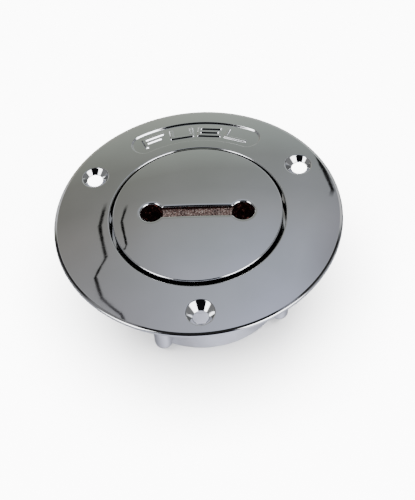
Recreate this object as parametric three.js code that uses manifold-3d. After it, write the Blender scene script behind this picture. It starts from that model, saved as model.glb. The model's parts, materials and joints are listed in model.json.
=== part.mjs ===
// Deck fill cap: a round flanged deck plate with a stout threaded neck, and the keyed screw cap that
// closes it. Millimetres, +Z up and out of the deck. The origin is the centre of the neck's lower end,
// and +Y points towards the lettering panel.

import * as THREE from "three";
import { mergeVertices } from "three/addons/utils/BufferGeometryUtils.js";
import Module from "manifold-3d";

const wasm = await Module();
wasm.setup();

// ---------------------------------------------------------------- driving dimensions

const FLANGE_RADIUS = 44.5;
const NECK_LENGTH = 32.0; // lower end of the neck to the flange's underside
const RIM_HEIGHT = 1.45; // height of the flange's edge
const WELL_RADIUS = 27.2; // the counterbore that the cap's head sinks into
const WELL_EDGE_RISE = 2.85; // flange top at the counterbore, above the underside
const SEAT_DROP = 3.4; // floor of the counterbore, below the underside
const CROWN_SLOPE = 0.066; // how fast the flange's top falls away from the counterbore
const CROWN_CURVE = 0.0012; // and how that fall grows outwards

const SCREW_CIRCLE_RADIUS = 37.1;
const SCREW_ANGLES = [30, 150, 270];
const SCREW_HOLE_RADIUS = 2.4;
const SCREW_SINK_RADIUS = 4.45;

const PANEL_RADIUS = 35.0; // middle of the arc-shaped lettering panel
const PANEL_HALF_WIDTH = 4.0;
const PANEL_HALF_ANGLE = 27.7; // to the centres of its round ends, either side of +Y
const PANEL_DEPTH = 0.7;
const LETTERS = "FUEL";
const LETTER_HEIGHT = 4.2;
const LETTER_WIDTH = 7.4;
const LETTER_STEP = 14.6; // degrees from one letter to the next
const LETTER_SINK = 0.1; // tops of the letters below the flange's top face

const NECK_RADIUS = 25.5;
const HUB_RADIUS = 31.6;
const HUB_HEIGHT = 4.2;
const PEG_RADIUS = 2.85;
const PEG_CIRCLE_RADIUS = 28.5;
const PEG_ANGLES = [62.5, 144, 242.5, 324];
const PEG_FOOT = 2.9; // lowest point of a peg above the neck's end
const PEG_WEB_WIDTH = 2.4;

const PIPE_MAJOR_RADIUS = 20.95; // G 1 1/4 internal thread for the fill pipe
const PIPE_MINOR_RADIUS = 19.5;
const PIPE_PITCH = 2.309;
const PIPE_DEPTH = 13.4;
const PIPE_THREAD_START = 2.2;
const PIPE_THREAD_TURNS = 4.0;
const PASSAGE_RADIUS = 19.0;
const PASSAGE_TOP = 17.2;

const THREAD_PITCH = 4.0; // the cap's own coarse thread
const BORE_RADIUS = 22.9;
const BORE_RIDGE_RADIUS = 21.7;
const BORE_RIDGE_START = 19.9;
const THREAD_TURNS = 1.8;
const SKIRT_RADIUS = 21.2;
const SKIRT_INNER_RADIUS = 17.6;
const SKIRT_RIDGE_RADIUS = 22.4;
const SKIRT_RIDGE_START = 21.9;
const RIDGE_BASE = 2.0;
const RIDGE_TIP = 1.0;

const CAP_RADIUS = 26.2;
const CAP_CROWN = 36.8; // height of the cap's middle above the neck's end
const CAP_DOME = 1.0; // fall from the middle of the cap to its edge
const CAP_EDGE_ROUND = 0.35;
const HEAD_UNDERSIDE = 31.5;
const SHOULDER_RADIUS = 23.0; // step that keeps the seal in place
const SHOULDER_UNDERSIDE = 30.3;
const SKIRT_END = 20.5;
const KEY_HOLE_SPACING = 28.1;
const KEY_HOLE_RADIUS = 3.5;
const KEY_HOLE_DEPTH = 5.6;
const KEY_SLOT_WIDTH = 3.7;
const KEY_SLOT_DEPTH = 1.8;
const KEY_TURN = -2.75; // degrees, where the thread pulls the cap up tight
const BOSS_RADIUS = 5.2;
const BOSS_WIDTH = 8.0;
const BOSS_UNDERSIDE = 29.0;

const SEAL_RADIUS = 24.6;
const SEAL_HEIGHT = 30.05;
const SEAL_HALF_WIDTH = 1.3;
const SEAL_HALF_THICKNESS = 1.15;

const STUD_HOLE_RADIUS = 1.8;
const STUD_HOLE_TOP = 33.5;
const TAB_LOW = 27.55;
const TAB_HIGH = 28.6;
const TAB_HALF_WIDTH = 2.4;
const TAB_HOLE_HEIGHT = 22.9;
const TAB_HOLE_RADIUS = 1.3;

const LINK_X = 4.5; // where the chain hangs from the cap's tab
const ANCHOR_X = -14.9; // where it hangs from the neck's lug
const LUG_HALF_WIDTH = 2.4;
const LUG_NOSE = -14.2;
const LUG_HOLE_X = -17.1;
const LUG_HOLE_RADIUS = 1.4;
const ANCHOR_RING_RADIUS = 2.7;
const ANCHOR_WIRE_RADIUS = 0.6;
const BELL_RADIUS = 2.2;
const BELL_LOOP_RADIUS = 1.7;
const BELL_LOOP_WIRE = 0.5;
const BELL_LOOP_RISE = 3.6; // middle of a bell to the middle of its loop
const BEAD_RADIUS = 1.8;
const BEAD_COUNT = 13;
const LINK_WIRE_RADIUS = 0.45;
const LINK_REACH = 0.65; // bare wire between a bead and the end of its link

const SEAT = NECK_LENGTH - SEAT_DROP;
const WELL_EDGE = NECK_LENGTH + WELL_EDGE_RISE;
const ROUND_STEPS = 48; // facets round the large turned bodies
const WELD = 0.5; // how far a joined piece is sunk into the one that carries it

// ---------------------------------------------------------------- small tools

const radians = THREE.MathUtils.degToRad;
const onCircle = (radius, degrees) => {
  const angle = radians(degrees);
  return [radius * Math.cos(angle), radius * Math.sin(angle)];
};

// A closed geometry as a solid that can be joined and cut.
function solid(geometry) {
  const bare = new THREE.BufferGeometry();
  bare.setAttribute("position", geometry.getAttribute("position").clone());
  if (geometry.index) bare.setIndex(geometry.index.clone());
  const merged = mergeVertices(bare, 1e-4);
  const index = merged.index.array;
  const kept = [];
  for (let i = 0; i < index.length; i += 3) {
    const [a, b, c] = [index[i], index[i + 1], index[i + 2]];
    if (a !== b && b !== c && c !== a) kept.push(a, b, c);
  }
  const vertProperties = Float32Array.from(merged.getAttribute("position").array);
  if (signedVolume(vertProperties, kept) < 0) kept.reverse();
  return new wasm.Manifold(new wasm.Mesh({ numProp: 3, vertProperties, triVerts: Uint32Array.from(kept) }));
}

function signedVolume(positions, triangles) {
  const [a, b, c] = [new THREE.Vector3(), new THREE.Vector3(), new THREE.Vector3()];
  let volume = 0;
  for (let i = 0; i < triangles.length; i += 3) {
    a.fromArray(positions, 3 * triangles[i]);
    b.fromArray(positions, 3 * triangles[i + 1]);
    c.fromArray(positions, 3 * triangles[i + 2]);
    volume += a.dot(b.cross(c)) / 6;
  }
  return volume;
}

function geometryOf(manifold) {
  const mesh = manifold.getMesh();
  const geometry = new THREE.BufferGeometry();
  geometry.setAttribute("position", new THREE.BufferAttribute(Float32Array.from(mesh.vertProperties), 3));
  geometry.setIndex(new THREE.BufferAttribute(Uint32Array.from(mesh.triVerts), 1));
  return geometry;
}

// A body of revolution about Z from (radius, height) points that close on themselves.
function turned(profile, segments) {
  const points = profile.map(([radius, height]) => new THREE.Vector2(radius, height));
  const onAxis = profile[0][0] === 0 && profile[profile.length - 1][0] === 0;
  if (!onAxis) points.push(points[0].clone());
  return solid(new THREE.LatheGeometry(points, segments).rotateX(Math.PI / 2));
}

// A prism from an outline in the XY plane, standing from one height to another.
function prism(shape, low, high) {
  const settings = { depth: high - low, bevelEnabled: false, curveSegments: 10 };
  return solid(new THREE.ExtrudeGeometry(shape, settings).translate(0, 0, low));
}

function rod(radius, low, high, x, y, segments = 20) {
  return solid(
    new THREE.CylinderGeometry(radius, radius, high - low, segments)
      .rotateX(Math.PI / 2)
      .translate(x, y, (low + high) / 2)
  );
}

// One helical ridge standing on a wall. It rises with the angle, as a right-hand thread does, and runs
// out to nothing over its first and last sixth of a turn.
function threadRidge({ wallRadius, tipRadius, start, turns, pitch, base, tip, steps }) {
  const count = Math.round(steps * turns);
  const runOut = steps / 6;
  const rootRadius = wallRadius - Math.sign(tipRadius - wallRadius) * WELD;
  const positions = [];
  for (let i = 0; i <= count; i++) {
    const angle = (2 * Math.PI * i) / steps;
    const z = start + (pitch * i) / steps;
    const fade = Math.min(1, i / runOut, (count - i) / runOut);
    const top = THREE.MathUtils.lerp(wallRadius, tipRadius, 0.02 + 0.98 * fade);
    const section = [[rootRadius, -base / 2], [wallRadius, -base / 2], [top, -tip / 2]];
    section.push([top, tip / 2], [wallRadius, base / 2], [rootRadius, base / 2]);
    for (const [r, dz] of section) positions.push(r * Math.cos(angle), r * Math.sin(angle), z + dz);
  }
  const sides = 6;
  const index = [];
  for (let i = 0; i < count; i++) {
    for (let j = 0; j < sides; j++) {
      const a = i * sides + j;
      const b = i * sides + ((j + 1) % sides);
      index.push(a, b, a + sides, b, b + sides, a + sides);
    }
  }
  for (let j = 1; j < sides - 1; j++) {
    const last = count * sides;
    index.push(0, j + 1, j, last, last + j, last + j + 1);
  }
  const geometry = new THREE.BufferGeometry();
  geometry.setAttribute("position", new THREE.Float32BufferAttribute(positions, 3));
  geometry.setIndex(index);
  return solid(geometry);
}

// ---------------------------------------------------------------- deck plate

// Height of the flange's slightly crowned top face at a radius.
function flangeTop(radius) {
  const out = radius - WELL_RADIUS;
  return WELL_EDGE - CROWN_SLOPE * out - CROWN_CURVE * out * out;
}

function plateBody() {
  const rimTop = NECK_LENGTH + RIM_HEIGHT;
  const profile = [
    [FLANGE_RADIUS - 0.6, NECK_LENGTH],
    [FLANGE_RADIUS - 0.1, NECK_LENGTH + 0.3],
    [FLANGE_RADIUS, NECK_LENGTH + 0.75],
    [FLANGE_RADIUS - 0.3, rimTop - 0.3],
    [FLANGE_RADIUS - 1.0, flangeTop(FLANGE_RADIUS - 1.0)],
    [38.5, flangeTop(38.5)],
    [33.0, flangeTop(33.0)],
    [WELL_RADIUS + 0.35, flangeTop(WELL_RADIUS + 0.35)],
    [WELL_RADIUS, WELL_EDGE - 0.35],
    [WELL_RADIUS, SEAT],
    [BORE_RADIUS + 0.3, SEAT],
    [BORE_RADIUS, SEAT - 0.5],
    [BORE_RADIUS, PASSAGE_TOP + 1.4],
    [PASSAGE_RADIUS, PASSAGE_TOP],
    [PASSAGE_RADIUS, PIPE_DEPTH + 1.6],
    [PIPE_MAJOR_RADIUS + 0.3, PIPE_DEPTH + 1.2],
    [PIPE_MAJOR_RADIUS + 0.3, PIPE_DEPTH],
    [PIPE_MAJOR_RADIUS, PIPE_DEPTH - 0.3],
    [PIPE_MAJOR_RADIUS, 1.0],
    [PIPE_MAJOR_RADIUS + 0.9, 0],
    [NECK_RADIUS - 0.5, 0],
    [NECK_RADIUS, 0.5],
    [NECK_RADIUS, 23.4],
    [NECK_RADIUS + 1.2, 25.2],
    [HUB_RADIUS - 1.6, 26.2],
    [HUB_RADIUS, NECK_LENGTH - HUB_HEIGHT],
    [HUB_RADIUS, NECK_LENGTH],
  ];
  return turned(profile, ROUND_STEPS);
}

// A cast peg hanging beside the neck, with a round foot and a web that ties it to the neck.
function peg(degrees) {
  const [x, y] = onCircle(PEG_CIRCLE_RADIUS, degrees);
  const top = NECK_LENGTH - HUB_HEIGHT - 0.6;
  const foot = [];
  for (const turn of [90, 60, 30, 0]) {
    const angle = radians(turn);
    foot.push([PEG_RADIUS * Math.cos(angle), PEG_FOOT + PEG_RADIUS * (1 - Math.sin(angle))]);
  }
  foot[0][0] = 0;
  const shank = turned([...foot, [PEG_RADIUS, top], [0, top]], 20).translate([x, y, 0]);
  const webFoot = PEG_FOOT + 2 * PEG_RADIUS;
  const webRoot = NECK_RADIUS - 2 * WELD;
  const web = solid(
    new THREE.BoxGeometry(PEG_CIRCLE_RADIUS - webRoot, PEG_WEB_WIDTH, top - webFoot)
      .translate((PEG_CIRCLE_RADIUS + webRoot) / 2, 0, (webFoot + top) / 2)
      .rotateZ(radians(degrees))
  );
  return shank.add(web);
}

function screwHole(degrees) {
  const [x, y] = onCircle(SCREW_CIRCLE_RADIUS, degrees);
  const face = flangeTop(SCREW_CIRCLE_RADIUS);
  const sinkDepth = SCREW_SINK_RADIUS - SCREW_HOLE_RADIUS;
  const cut = [
    [0, NECK_LENGTH - 1],
    [SCREW_HOLE_RADIUS, NECK_LENGTH - 1],
    [SCREW_HOLE_RADIUS, face - sinkDepth],
    [SCREW_SINK_RADIUS + WELD, face + WELD],
    [SCREW_SINK_RADIUS + WELD, face + 2],
    [0, face + 2],
  ];
  return turned(cut, 24).translate([x, y, 0]);
}

// The arc-shaped pill that is sunk into the flange behind the cap.
function panelOutline(radius, halfWidth, halfAngle) {
  const [low, high] = [radians(90 - halfAngle), radians(90 + halfAngle)];
  const [lowX, lowY] = [radius * Math.cos(low), radius * Math.sin(low)];
  const [highX, highY] = [radius * Math.cos(high), radius * Math.sin(high)];
  const shape = new THREE.Shape();
  shape.absarc(0, 0, radius + halfWidth, low, high, false);
  shape.absarc(highX, highY, halfWidth, high, high + Math.PI, false);
  shape.absarc(0, 0, radius - halfWidth, high, low, true);
  shape.absarc(lowX, lowY, halfWidth, low + Math.PI, low + 2 * Math.PI, false);
  return shape;
}

// Everything below a surface that follows the crowned top at a depth under it.
function belowCrown(depth) {
  const radii = [WELL_RADIUS, 33.0, 38.5, FLANGE_RADIUS];
  const top = radii.map((radius) => [radius, flangeTop(radius) - depth]).reverse();
  const profile = [[0, NECK_LENGTH], [FLANGE_RADIUS, NECK_LENGTH], ...top, [0, WELL_EDGE - depth]];
  return turned(profile, ROUND_STEPS);
}

function panelCut() {
  const outline = panelOutline(PANEL_RADIUS, PANEL_HALF_WIDTH, PANEL_HALF_ANGLE);
  return prism(outline, NECK_LENGTH + WELD, WELL_EDGE + 2).subtract(belowCrown(PANEL_DEPTH));
}

// Block capitals from bars, in a box one unit wide and one unit high about its middle.
const BAR = 0.24;
const LETTER_BARS = {
  F: [[-0.5, -0.5, -0.5 + BAR, 0.5], [-0.5, 0.5 - BAR, 0.5, 0.5], [-0.5, -0.1, 0.32, -0.1 + BAR]],
  U: [[-0.5, -0.5, -0.5 + BAR, 0.5], [0.5 - BAR, -0.5, 0.5, 0.5], [-0.5, -0.5, 0.5, -0.5 + BAR]],
  E: [[-0.5, -0.5, -0.5 + BAR, 0.5], [-0.5, 0.5 - BAR, 0.5, 0.5], [-0.5, -BAR / 2, 0.4, BAR / 2],
      [-0.5, -0.5, 0.5, -0.5 + BAR]],
  L: [[-0.5, -0.5, -0.5 + BAR, 0.5], [-0.5, -0.5, 0.5, -0.5 + BAR]],
};

function letter(character, degrees) {
  const [low, high] = [NECK_LENGTH + WELD, WELL_EDGE + 1];
  let joined = null;
  for (const [x0, y0, x1, y1] of LETTER_BARS[character]) {
    const upright = y1 - y0 > 0.5;
    const wide = (x1 - x0) * (upright ? LETTER_HEIGHT : LETTER_WIDTH);
    const tall = (y1 - y0) * LETTER_HEIGHT;
    const x = upright ? Math.sign(x0 + x1) * (LETTER_WIDTH - wide) / 2 : x0 * LETTER_WIDTH + wide / 2;
    const y = ((y0 + y1) / 2) * LETTER_HEIGHT + PANEL_RADIUS;
    const bar = solid(new THREE.BoxGeometry(wide, tall, high - low).translate(x, y, (low + high) / 2));
    joined = joined ? joined.add(bar) : bar;
  }
  return joined.rotate([0, 0, degrees]);
}

// The lug inside the neck, with an upright hole for the chain's anchor ring.
function chainLug() {
  const root = -PASSAGE_RADIUS - WELD;
  const [low, high] = [PIPE_DEPTH + 1.8, PASSAGE_TOP];
  const bar = solid(
    new THREE.BoxGeometry(LUG_NOSE - root, 2 * LUG_HALF_WIDTH, high - low)
      .translate((LUG_NOSE + root) / 2, 0, (low + high) / 2)
  );
  return bar.subtract(rod(LUG_HOLE_RADIUS, low - 1, high + 1, LUG_HOLE_X, 0, 16));
}

function deckPlate() {
  let plate = plateBody();
  for (const degrees of PEG_ANGLES) plate = plate.add(peg(degrees));
  for (const degrees of SCREW_ANGLES) plate = plate.subtract(screwHole(degrees));
  plate = plate.subtract(panelCut());
  [...LETTERS].forEach((character, i) => {
    const degrees = ((LETTERS.length - 1) / 2 - i) * LETTER_STEP;
    plate = plate.add(letter(character, degrees).intersect(belowCrown(LETTER_SINK)));
  });
  const capThread = threadRidge({
    wallRadius: BORE_RADIUS,
    tipRadius: BORE_RIDGE_RADIUS,
    start: BORE_RIDGE_START,
    turns: THREAD_TURNS,
    pitch: THREAD_PITCH,
    base: RIDGE_BASE,
    tip: RIDGE_TIP,
    steps: ROUND_STEPS / 2,
  });
  const pipeThread = threadRidge({
    wallRadius: PIPE_MAJOR_RADIUS,
    tipRadius: PIPE_MINOR_RADIUS,
    start: PIPE_THREAD_START,
    turns: PIPE_THREAD_TURNS,
    pitch: PIPE_PITCH,
    base: 1.9,
    tip: 0.4,
    steps: ROUND_STEPS / 3,
  });
  return plate.add(capThread).add(pipeThread).add(chainLug());
}

// ---------------------------------------------------------------- fill cap

function capTop(radius) {
  const edge = CAP_RADIUS - CAP_EDGE_ROUND;
  return CAP_CROWN - CAP_DOME * (radius / edge) ** 2;
}

function capBody() {
  const edge = CAP_RADIUS - CAP_EDGE_ROUND;
  const profile = [
    [0, HEAD_UNDERSIDE + 0.7],
    [SKIRT_INNER_RADIUS - 0.6, HEAD_UNDERSIDE + 0.7],
    [SKIRT_INNER_RADIUS, HEAD_UNDERSIDE],
    [SKIRT_INNER_RADIUS, SKIRT_END],
    [SKIRT_RADIUS - 0.5, SKIRT_END],
    [SKIRT_RADIUS, SKIRT_END + 0.5],
    [SKIRT_RADIUS, SHOULDER_UNDERSIDE - 0.2],
    [SHOULDER_RADIUS, SHOULDER_UNDERSIDE],
    [SHOULDER_RADIUS, HEAD_UNDERSIDE],
    [CAP_RADIUS - 0.4, HEAD_UNDERSIDE],
    [CAP_RADIUS, HEAD_UNDERSIDE + 0.4],
    [CAP_RADIUS, capTop(edge) - CAP_EDGE_ROUND],
    [CAP_RADIUS - 0.1, capTop(edge) - 0.1],
    [edge, capTop(edge)],
    [18, capTop(18)],
    [9, capTop(9)],
    [0, CAP_CROWN],
  ];
  return turned(profile, ROUND_STEPS);
}

// The solid bar under the head that holds the blind key holes and the swivel stud.
function keyBoss() {
  const [low, high] = [BOSS_UNDERSIDE, HEAD_UNDERSIDE + 1.2];
  const half = KEY_HOLE_SPACING / 2;
  let boss = solid(new THREE.BoxGeometry(2 * half, BOSS_WIDTH, high - low).translate(0, 0, (low + high) / 2));
  for (const x of [-half, half]) boss = boss.add(rod(BOSS_RADIUS, low, high, x, 0, 24));
  return boss;
}

function keySlot() {
  const half = KEY_HOLE_SPACING / 2;
  const high = CAP_CROWN + 1;
  const slotFloor = CAP_CROWN - KEY_SLOT_DEPTH;
  let cut = solid(
    new THREE.BoxGeometry(2 * half, KEY_SLOT_WIDTH, high - slotFloor).translate(0, 0, (slotFloor + high) / 2)
  );
  for (const x of [-half, half]) {
    cut = cut.add(rod(KEY_HOLE_RADIUS, CAP_CROWN - KEY_HOLE_DEPTH, high, x, 0, 28));
  }
  return cut;
}

function fillCap() {
  const thread = threadRidge({
    wallRadius: SKIRT_RADIUS,
    tipRadius: SKIRT_RIDGE_RADIUS,
    start: SKIRT_RIDGE_START,
    turns: THREAD_TURNS,
    pitch: THREAD_PITCH,
    base: RIDGE_BASE,
    tip: RIDGE_TIP,
    steps: ROUND_STEPS / 2,
  });
  const studHole = rod(STUD_HOLE_RADIUS, BOSS_UNDERSIDE - 1, STUD_HOLE_TOP, 0, 0, 16);
  return capBody().add(keyBoss()).subtract(keySlot()).subtract(studHole).rotate([0, 0, KEY_TURN]).add(thread);
}

function capORing() {
  const section = [];
  const points = 8;
  for (let i = 0; i < points; i++) {
    const angle = (2 * Math.PI * i) / points;
    section.push([
      SEAL_RADIUS + SEAL_HALF_WIDTH * Math.cos(angle),
      SEAL_HEIGHT + SEAL_HALF_THICKNESS * Math.sin(angle),
    ]);
  }
  return turned(section, ROUND_STEPS);
}

function swivelStud() {
  const head = [[0, 25.9], [2.4, 25.9], [3.2, 26.5], [3.2, 27.2]];
  const shank = [[1.5, 27.2], [1.5, 32.9], [1.2, 33.2], [0, 33.2]];
  return turned([...head, ...shank], 24);
}

// A bent tab: its flat end turns on the stud, and its upright end carries the chain.
function swivelEye() {
  const [foot, head] = [TAB_HOLE_HEIGHT - TAB_HALF_WIDTH, TAB_HIGH - 0.1];
  const flat = new THREE.Shape();
  flat.absarc(0, 0, 3.4, Math.PI / 2, (3 * Math.PI) / 2, false);
  flat.lineTo(LINK_X + 0.5, -TAB_HALF_WIDTH);
  flat.lineTo(LINK_X + 0.5, TAB_HALF_WIDTH);
  const upright = solid(
    new THREE.BoxGeometry(1.0, 2 * TAB_HALF_WIDTH, head - foot).translate(LINK_X, 0, (foot + head) / 2)
  );
  const hole = solid(
    new THREE.CylinderGeometry(TAB_HOLE_RADIUS, TAB_HOLE_RADIUS, 3, 16)
      .rotateZ(Math.PI / 2)
      .translate(LINK_X, 0, TAB_HOLE_HEIGHT)
  );
  return prism(flat, TAB_LOW, TAB_HIGH).add(upright).subtract(rod(1.9, 26, 30, 0, 0, 20)).subtract(hole);
}

// ---------------------------------------------------------------- retaining chain

// A wire ring about an axis along X or Y.
function wireRing(radius, wire, centre, alongX) {
  const ring = new THREE.TorusGeometry(radius, wire, 6, 16);
  if (alongX) ring.rotateY(Math.PI / 2);
  else ring.rotateX(Math.PI / 2);
  return solid(ring.translate(...centre));
}

const ball = (radius, centre) => solid(new THREE.SphereGeometry(radius, 10, 7).translate(...centre));

// The bell that closes over the chain's last bead, with the loop that links it to a ring or tab.
function chainBell([x, y, z], alongX) {
  const loop = wireRing(BELL_LOOP_RADIUS, BELL_LOOP_WIRE, [x, y, z + BELL_LOOP_RISE], alongX);
  return ball(BELL_RADIUS, [x, y, z]).add(loop);
}

const CAP_BELL = [LINK_X, 0, 17.35];
const NECK_BELL = [ANCHOR_X, 0, 9.05];
const ANCHOR_RING_CENTRE = [ANCHOR_X, 0, 15.6];
const BEAD_FLOOR = BEAD_RADIUS + 0.15;

// The chain's way from the neck's lug down and round the neck's lower end, and up to the cap.
const CHAIN_ROUTE = [
  NECK_BELL,
  [ANCHOR_X, -0.5, 5.6],
  [-14.0, -3.6, 2.6],
  [-11.6, -7.4, BEAD_FLOOR],
  [-6.8, -11.8, BEAD_FLOOR],
  [0.2, -13.6, BEAD_FLOOR],
  [7.2, -11.6, BEAD_FLOOR],
  [12.0, -6.4, BEAD_FLOOR],
  [13.4, 0.4, BEAD_FLOOR],
  [10.8, 5.6, BEAD_FLOOR],
  [6.6, 4.6, 2.4],
  [4.6, 1.2, 5.4],
  [LINK_X, 0, 9.6],
  CAP_BELL,
];

// One hollow bead with the stub of the wire link that joins it to the next bead.
function chainBead(centre, next) {
  const from = new THREE.Vector3(...centre);
  const towards = new THREE.Vector3(...next).sub(from).normalize();
  const reach = BEAD_RADIUS + LINK_REACH;
  const stub = new THREE.CylinderGeometry(LINK_WIRE_RADIUS, LINK_WIRE_RADIUS, reach, 6);
  stub.translate(0, reach / 2, 0);
  stub.applyQuaternion(new THREE.Quaternion().setFromUnitVectors(new THREE.Vector3(0, 1, 0), towards));
  return ball(BEAD_RADIUS, centre).add(solid(stub.translate(...centre)));
}

function chainBeads() {
  const route = new THREE.CatmullRomCurve3(CHAIN_ROUTE.map((point) => new THREE.Vector3(...point)));
  const places = route.getSpacedPoints(BEAD_COUNT + 1).map((point) => point.toArray());
  return places.slice(1, -1).map((place, i) => chainBead(place, places[i + 2]));
}

// ---------------------------------------------------------------- assembly

const chrome = { color: 0x9a9ea2, roughness: 0.12, metalness: 1.0 };
const nitrile = { color: 0x16171a, roughness: 0.75, metalness: 0.0 };
const stainless = { color: 0xb4b6b8, roughness: 0.28, metalness: 1.0 };
const brass = { color: 0xc2a15c, roughness: 0.3, metalness: 1.0 };

const group = new THREE.Group();

function place(name, manifold, finish) {
  const mesh = new THREE.Mesh(geometryOf(manifold), new THREE.MeshStandardMaterial(finish));
  mesh.name = name;
  group.add(mesh);
}

place("deck_plate", deckPlate(), chrome);
place("fill_cap", fillCap(), chrome);
place("cap_o_ring", capORing(), nitrile);
place("swivel_stud", swivelStud(), brass);
place("swivel_eye", swivelEye(), stainless);
place("chain_bell_cap", chainBell(CAP_BELL, false), stainless);
place("chain_bell_neck", chainBell(NECK_BELL, true), stainless);
place("anchor_ring", wireRing(ANCHOR_RING_RADIUS, ANCHOR_WIRE_RADIUS, ANCHOR_RING_CENTRE, false), stainless);
chainBeads().forEach((bead, i) => {
  place(`chain_bead_${String(i + 1).padStart(2, "0")}`, bead, stainless);
});

export default group;
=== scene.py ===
"""Deck fill cap: a chromed deck plate with a keyed screw cap, its seal and its retaining chain.

Shapes are worked out in millimetres and become metres when a mesh is made. +Z is up out of the deck, the
origin is the centre of the neck's lower end, and +Y points towards the lettering panel.
"""

import json
import math
from collections import namedtuple

import bpy
import numpy as np
from mathutils import Matrix, Vector, noise
from mathutils.geometry import delaunay_2d_cdt

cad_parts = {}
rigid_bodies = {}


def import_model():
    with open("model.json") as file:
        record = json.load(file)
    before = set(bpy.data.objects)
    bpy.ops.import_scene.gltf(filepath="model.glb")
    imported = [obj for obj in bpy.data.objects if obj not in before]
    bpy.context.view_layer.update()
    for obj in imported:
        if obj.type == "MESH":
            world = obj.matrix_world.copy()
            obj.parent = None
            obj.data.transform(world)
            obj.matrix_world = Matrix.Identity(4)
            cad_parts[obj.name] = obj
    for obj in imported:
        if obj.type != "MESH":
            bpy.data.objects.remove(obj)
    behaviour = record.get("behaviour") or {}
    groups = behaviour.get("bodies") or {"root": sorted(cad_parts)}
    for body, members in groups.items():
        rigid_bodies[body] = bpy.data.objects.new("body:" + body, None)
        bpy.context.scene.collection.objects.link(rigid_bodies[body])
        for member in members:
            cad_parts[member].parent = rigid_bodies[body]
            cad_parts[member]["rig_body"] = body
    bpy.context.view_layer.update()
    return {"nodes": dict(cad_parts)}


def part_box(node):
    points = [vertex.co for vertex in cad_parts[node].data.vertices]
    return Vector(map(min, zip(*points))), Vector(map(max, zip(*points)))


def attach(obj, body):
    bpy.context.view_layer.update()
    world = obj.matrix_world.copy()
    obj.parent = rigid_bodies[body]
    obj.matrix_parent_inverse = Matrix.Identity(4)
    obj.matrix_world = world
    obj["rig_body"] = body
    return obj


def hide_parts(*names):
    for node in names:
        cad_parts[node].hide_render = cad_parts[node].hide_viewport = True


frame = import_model()

MM = 0.001
TURN = 2 * math.pi
UP = np.array([0.0, 0.0, 1.0])

# ---------------------------------------------------------------- sizes, in millimetres

FLANGE_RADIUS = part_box("deck_plate")[1].x / MM
NECK_LENGTH = 32.0
WELL_RADIUS = 27.2
WELL_EDGE = NECK_LENGTH + 2.85
WELL_LIP_ROUND = 0.5
SEAT = NECK_LENGTH - 3.4
CROWN_SLOPE = 0.066
CROWN_CURVE = 0.0012
RIM_WIDTH = 0.95
RIM_SLOPE = 0.3
TOP_EDGE = FLANGE_RADIUS - RIM_WIDTH

SCREW_CIRCLE_RADIUS = 37.1
SCREW_HOLES = ((30, 4.15), (150, 4.15), (270, 4.4))  # degrees and countersink radius of each
SCREW_HOLE_RADIUS = 2.4

PANEL_RADIUS = 35.0
PANEL_HALF_WIDTH = 4.0
PANEL_HALF_ANGLE = math.radians(27.7)
PANEL_DEPTH = 0.52
PANEL_WALL = 0.62
LETTERS = "FUEL"
LETTER_HEIGHT = 4.2
LETTER_WIDTH = 7.4
LETTER_BAR = 0.96
LETTER_STEP = 14.6
LETTER_RISE = 0.42
LETTER_FILLET = 0.3
LETTER_WALL = 0.54

NECK_RADIUS = 25.5
HUB_RADIUS = 31.6
HUB_UNDERSIDE = NECK_LENGTH - 4.2
PEG_RADIUS = 2.85
PEG_CIRCLE_RADIUS = 28.5
PEG_ANGLES = (62.5, 144, 242.5, 324)
PEG_FOOT = 2.9
PEG_FILLET = 1.6

PIPE_MAJOR_RADIUS = 20.95
PIPE_DEPTH = 13.4
PASSAGE_RADIUS = 19.0
THREAD_PITCH = 4.0
THREAD_TURNS = 1.8
BORE_RADIUS = 22.9

CAP_RADIUS = 26.2
CAP_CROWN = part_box("fill_cap")[1].z / MM
CAP_DOME = 1.2
CAP_EDGE_ROUND = 0.38
CAP_EDGE = CAP_RADIUS - 0.35
HEAD_UNDERSIDE = 31.5
HOLLOW_TOP = HEAD_UNDERSIDE + 0.7
GROOVE_EDGE = 23.0
SKIRT_RADIUS = 21.2
SKIRT_INNER_RADIUS = 17.6
SKIRT_END = 20.5
KEY_HOLE_RADIUS = 3.5
KEY_HOLE_DEPTH = 5.6
KEY_HALF_SPACING = 28.1 / 2
KEY_SLOT_HALF_WIDTH = 3.7 / 2
KEY_SLOT_DEPTH = 1.4
KEY_LIP_ROUND = 0.5
KEY_LIP_ROLL = math.radians(7)  # how far the top already leans over where the lip's round begins
KEY_TURN = math.radians(-2.75)
BOSS_RADIUS = 5.2
BOSS_HALF_WIDTH = 4.0
BOSS_UNDERSIDE = 29.0
STUD_HOLE_RADIUS = 1.8

# a helical ridge: the wall's and the ridge's radius, its first height, laps, pitch, base and crest width,
# and the height between rows of points
Thread = namedtuple("Thread", "wall tip start turns pitch base crest step")
BORE_THREAD = Thread(BORE_RADIUS, 21.7, 19.9, THREAD_TURNS, THREAD_PITCH, 2.0, 1.0, 0.16)
PIPE_THREAD = Thread(PIPE_MAJOR_RADIUS, 19.5, 2.2, 4.0, 2.309, 1.9, 0.4, 0.17)
SKIRT_THREAD = Thread(SKIRT_RADIUS, 22.4, 21.9, THREAD_TURNS, THREAD_PITCH, 2.0, 1.0, 0.16)

ROUND = 240  # points round the large turned surfaces
ARC_POINTS = 44  # on each round end of a dumbbell
BAR_POINTS = 38  # on each side of its bar
STRAIGHT = 0.02  # radians under which a corner isn't rounded

# The last finish, for the key slot's walls and blind holes, is near-black painted shade with speckles of real
# reddish tarnish.
PLAIN, ROUGH, KEY_SEAT, TARNISH_AND_PAINTED_SHADE = range(4)  # which of its piece's materials a face has


# ---------------------------------------------------------------- materials

def linked(tree, kind, inputs=None, **settings):
    """A new node with its settings, and its inputs given as values or as sockets to link from."""
    node = tree.nodes.new(kind)
    for key, value in settings.items():
        setattr(node, key, value)
    for key, value in (inputs or {}).items():
        if isinstance(value, bpy.types.NodeSocket):
            tree.links.new(value, node.inputs[key])
        else:
            node.inputs[key].default_value = value
    return node


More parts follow.
